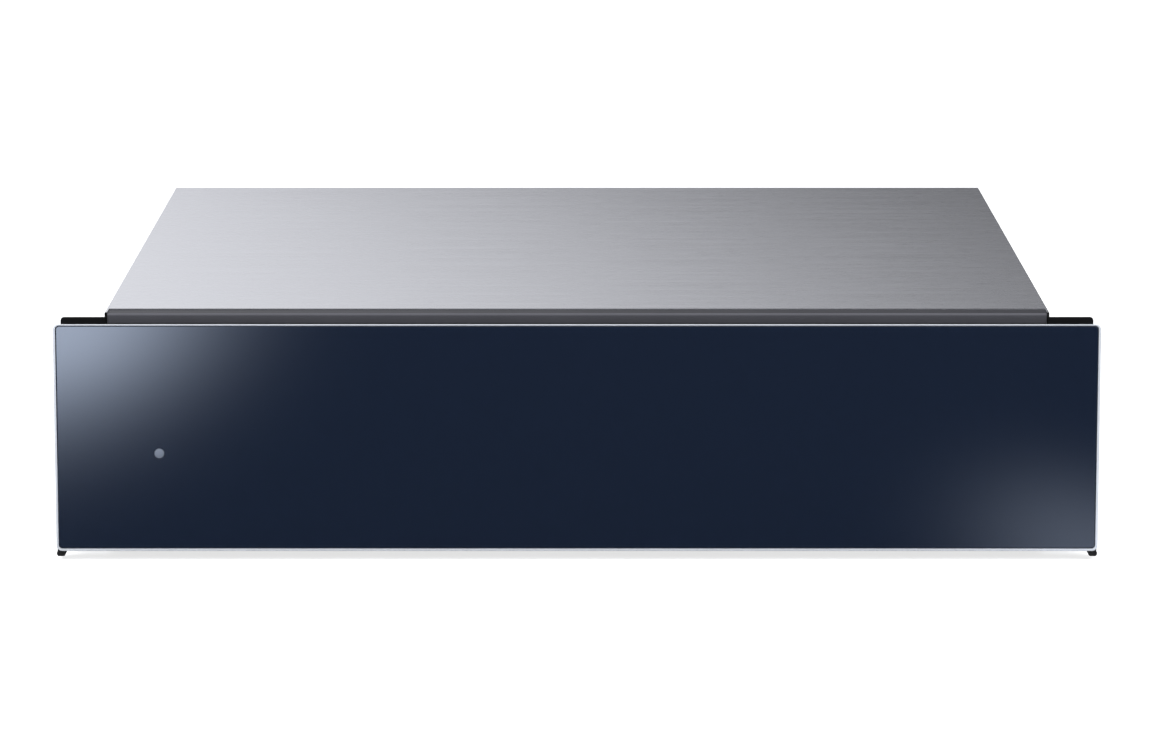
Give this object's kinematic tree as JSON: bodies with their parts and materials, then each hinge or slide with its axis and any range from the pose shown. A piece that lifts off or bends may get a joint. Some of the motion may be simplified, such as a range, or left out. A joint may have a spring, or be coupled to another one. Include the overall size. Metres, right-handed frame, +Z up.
{
  "type": "warming drawer",
  "caption": "Built-in kitchen warming drawer: steel casing and a navy glass-fronted push-to-open drawer on ball slides, with fan heater, thermostat knob and switch.",
  "frame": {"origin": "middle of the footprint's bounding box, on the surface that the rubber feet stand on", "axes": "+X to the right seen from the front, +Y to the back, +Z up; the drawer opens along -Y"},
  "size_m": [0.595, 0.55, 0.14],
  "materials": {
    "brushed_top": "brushed stainless steel, grain along the width",
    "galvanised": "galvanised sheet steel, matt with faint spangle",
    "stainless": "satin stainless steel",
    "dark_steel": "dark grey powder coat",
    "black_plastic": "black moulded plastic, fine texture",
    "black_enamel": "black powder coat",
    "rubber": "matt black rubber",
    "navy_glass": "tempered glass, enamelled navy on its back",
    "aluminium": "satin anodised",
    "zinc": "bright zinc plate",
    "wool": "mineral wool",
    "copper": "enamelled copper",
    "ivory": "ivory technical plastic",
    "board": "green circuit board",
    "core_steel": "laminated electrical steel",
    "button_silver": "silver lacquered plastic"
  },
  "bodies": {
    "casing": {"top_cover": "brushed_top", "side_panel_left": "galvanised", "side_panel_right": "galvanised", "base_plate": "galvanised", "rear_panel": "galvanised", "front_rail": "dark_steel", "front_sill": "dark_steel", "side_flange_left": "black_enamel", "side_flange_right": "black_enamel", "front_seals": "rubber", "ceiling_tray": "galvanised", "insulation_mat": "wool", "rubber_feet": "rubber", "casing_screws": "zinc", "slide_screws": "zinc", "slide_outer_left": "zinc", "slide_outer_right": "zinc", "terminal_box": "black_plastic", "mains_gland": "black_plastic", "terminal_block": "ivory", "latch_housing": "black_plastic"},
    "slide_middle_left": {"slide_middle_left": "zinc"},
    "slide_middle_right": {"slide_middle_right": "zinc"},
    "ball_cages_outer": {"ball_cages_outer": "zinc"},
    "ball_cages_inner": {"ball_cages_inner": "zinc"},
    "fan": {"fan_wheel": "stainless", "motor_rotor": "zinc"},
    "knob": {"thermostat_knob": "black_plastic", "thermostat_shaft": "zinc"},
    "button": {"power_button": "button_silver"},
    "latch": {"latch_plunger": "ivory", "latch_spring": "zinc"},
    "drawer": {"slide_inner_left": "zinc", "slide_inner_right": "zinc", "drawer_tub": "stainless", "drawer_front_wall": "stainless", "air_baffle": "stainless", "drawer_rear_wall": "galvanised", "anti_slip_mat": "rubber", "front_carrier": "black_plastic", "front_insulation": "wool", "front_glass": "navy_glass", "front_rim": "aluminium", "corner_buffers": "rubber", "front_screws": "zinc", "indicator_lens": "aluminium", "indicator_board": "board", "control_housing": "black_plastic", "control_fascia": "aluminium", "thermostat": "zinc", "power_switch": "black_plastic", "wiring_duct": "black_plastic", "duct_leads": "copper", "heater_element": "stainless", "temperature_probe": "copper", "overheat_cutout": "ivory", "motor_core": "core_steel", "motor_coil": "copper", "motor_brackets": "galvanised", "striker_pad": "rubber"}
  },
  "joints": [
    {"name": "drawer_slide", "type": "slide", "parent": "casing", "child": "drawer", "axis": [0, -1, 0], "range_m": [0, 0.4]},
    {"name": "slide_middle_left_run", "type": "slide", "parent": "casing", "child": "slide_middle_left", "axis": [0, -1, 0], "range_m": [0, 0.2]},
    {"name": "slide_middle_right_run", "type": "slide", "parent": "casing", "child": "slide_middle_right", "axis": [0, -1, 0], "range_m": [0, 0.2]},
    {"name": "ball_cages_outer_run", "type": "slide", "parent": "casing", "child": "ball_cages_outer", "axis": [0, -1, 0], "range_m": [0, 0.1]},
    {"name": "ball_cages_inner_run", "type": "slide", "parent": "casing", "child": "ball_cages_inner", "axis": [0, -1, 0], "range_m": [0, 0.3]},
    {"name": "fan_spin", "type": "hinge", "parent": "drawer", "child": "fan", "pos_m": [0, 0.1598, 0.056], "axis": [0, 1, 0], "continuous": true},
    {"name": "knob_turn", "type": "hinge", "parent": "drawer", "child": "knob", "pos_m": [0.16, -0.2222, 0.11], "axis": [0, 0, -1], "range_deg": [0, 270]},
    {"name": "button_press", "type": "slide", "parent": "drawer", "child": "button", "axis": [0, 0, -1], "range_m": [0, 0.0025], "stiffness_N_per_m": 300},
    {"name": "latch_press", "type": "slide", "parent": "casing", "child": "latch", "axis": [0, 1, 0], "range_m": [0, 0.003], "stiffness_N_per_m": 500}
  ],
  "couplings": [
    {"joint": "slide_middle_left_run", "follows": "drawer_slide", "ratio": 0.5},
    {"joint": "slide_middle_right_run", "follows": "drawer_slide", "ratio": 0.5},
    {"joint": "ball_cages_outer_run", "follows": "drawer_slide", "ratio": 0.25},
    {"joint": "ball_cages_inner_run", "follows": "drawer_slide", "ratio": 0.75}
  ]
}
